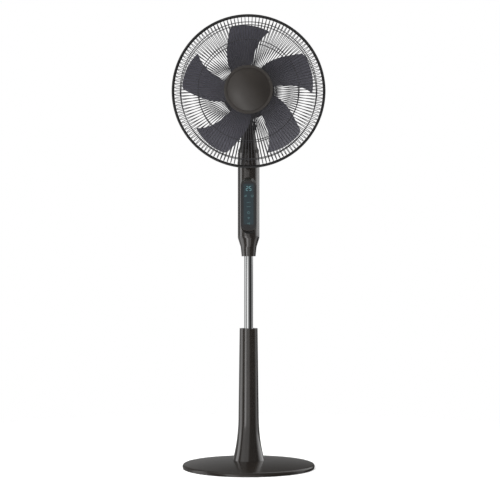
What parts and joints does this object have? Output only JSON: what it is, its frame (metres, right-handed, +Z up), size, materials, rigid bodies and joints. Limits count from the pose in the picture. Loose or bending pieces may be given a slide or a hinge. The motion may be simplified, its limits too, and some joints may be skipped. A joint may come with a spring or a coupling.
{
  "type": "pedestal fan",
  "caption": "Pedestal fan with a round weighted base, flared column, chrome telescopic pole, slim touch column and a wire-guarded head that swings and tilts.",
  "frame": {"origin": "on the floor under the pole's axis, at the middle of the round base", "axes": "+Z up along the pole, the fan blows towards -Y, +X to the right seen from the front"},
  "size_m": [0.432, 0.38, 1.289],
  "materials": {
    "gloss_brown_black": "moulded ABS with a high gloss, brown black",
    "satin_brown_grey": "moulded ABS with a satin brown grey skin",
    "violet_grey_blade": "moulded AS blade, satin dark violet grey",
    "dark_guard_paint": "steel wire with dark grey powder coat",
    "black_trim": "moulded black plastic",
    "touch_lens": "smoked gloss acrylic lens",
    "chrome_tube": "bright chrome plate",
    "zinc_steel": "bright zinc plated steel",
    "ballast_steel": "pressed steel plate with black paint",
    "foot_rubber": "moulded rubber",
    "board_laminate": "glass fibre board with green resist",
    "nylon_gear": "moulded white nylon",
    "cast_alloy": "die cast alloy",
    "painted_alloy": "satin brown grey paint on die cast alloy",
    "core_steel": "stacked silicon steel",
    "copper_winding": "lacquered copper wire"
  },
  "bodies": {
    "stand": {"base_cover": "gloss_brown_black", "base_weight": "ballast_steel", "base_feet": "foot_rubber", "base_nut": "zinc_steel", "outer_tube": "zinc_steel", "tube_collar": "zinc_steel", "column_cover": "gloss_brown_black", "pole_collet": "black_trim"},
    "lock_ring": {"height_lock_ring": "gloss_brown_black"},
    "pole": {"inner_pole": "chrome_tube", "pole_foot_bush": "black_trim", "control_front": "gloss_brown_black", "control_rear": "gloss_brown_black", "display_panel": "touch_lens", "control_board": "board_laminate", "pole_socket": "black_trim", "cord_gland": "foot_rubber", "swing_motor": "zinc_steel", "swing_bush": "black_trim"},
    "pinion": {"swing_pinion": "nylon_gear"},
    "neck": {"swing_gear": "nylon_gear", "swing_shaft": "zinc_steel", "shaft_clip": "zinc_steel", "neck_yoke": "satin_brown_grey", "tilt_pin": "zinc_steel", "tilt_nut": "zinc_steel"},
    "head": {"tilt_lug": "painted_alloy", "motor_front_cover": "satin_brown_grey", "motor_rear_cover": "satin_brown_grey", "front_shield": "cast_alloy", "rear_shield": "cast_alloy", "stator_core": "core_steel", "stator_winding": "copper_winding", "front_bearing": "zinc_steel", "rear_bearing": "zinc_steel", "rear_guard_wires": "dark_guard_paint", "rear_guard_rings": "dark_guard_paint", "rear_guard_plate": "dark_guard_paint", "guard_nut": "satin_brown_grey", "front_guard_wires": "dark_guard_paint", "front_guard_rings": "dark_guard_paint", "front_hub_plate": "dark_guard_paint", "guard_rim": "black_trim", "centre_cap": "satin_brown_grey"},
    "blade": {"rotor": "core_steel", "motor_shaft": "zinc_steel", "drive_pin": "zinc_steel", "blade_nut": "satin_brown_grey", "fan_blade": "violet_grey_blade"}
  },
  "joints": [
    {"name": "height_slide", "type": "slide", "parent": "stand", "child": "pole", "axis": [0, 0, 1], "range_m": [-0.185, 0.05]},
    {"name": "lock_twist", "type": "hinge", "parent": "stand", "child": "lock_ring", "pos_m": [0, 0, 0.391], "axis": [0, 0, 1], "range_deg": [0, 120]},
    {"name": "swing", "type": "hinge", "parent": "pole", "child": "neck", "pos_m": [0, 0, 0.905], "axis": [0, 0, 1], "range_deg": [-40, 40]},
    {"name": "pinion_turn", "type": "hinge", "parent": "pole", "child": "pinion", "pos_m": [0, 0.018, 0.886], "axis": [0, 0, 1], "range_deg": [-80, 80]},
    {"name": "head_tilt", "type": "hinge", "parent": "neck", "child": "head", "pos_m": [0, 0, 0.98], "axis": [-1, 0, 0], "range_deg": [-10, 20]},
    {"name": "blade_spin", "type": "hinge", "parent": "head", "child": "blade", "pos_m": [0, -0.1, 1.073], "axis": [0, -1, 0], "continuous": true}
  ],
  "couplings": [
    {"joint": "pinion_turn", "follows": "swing", "ratio": -2}
  ]
}
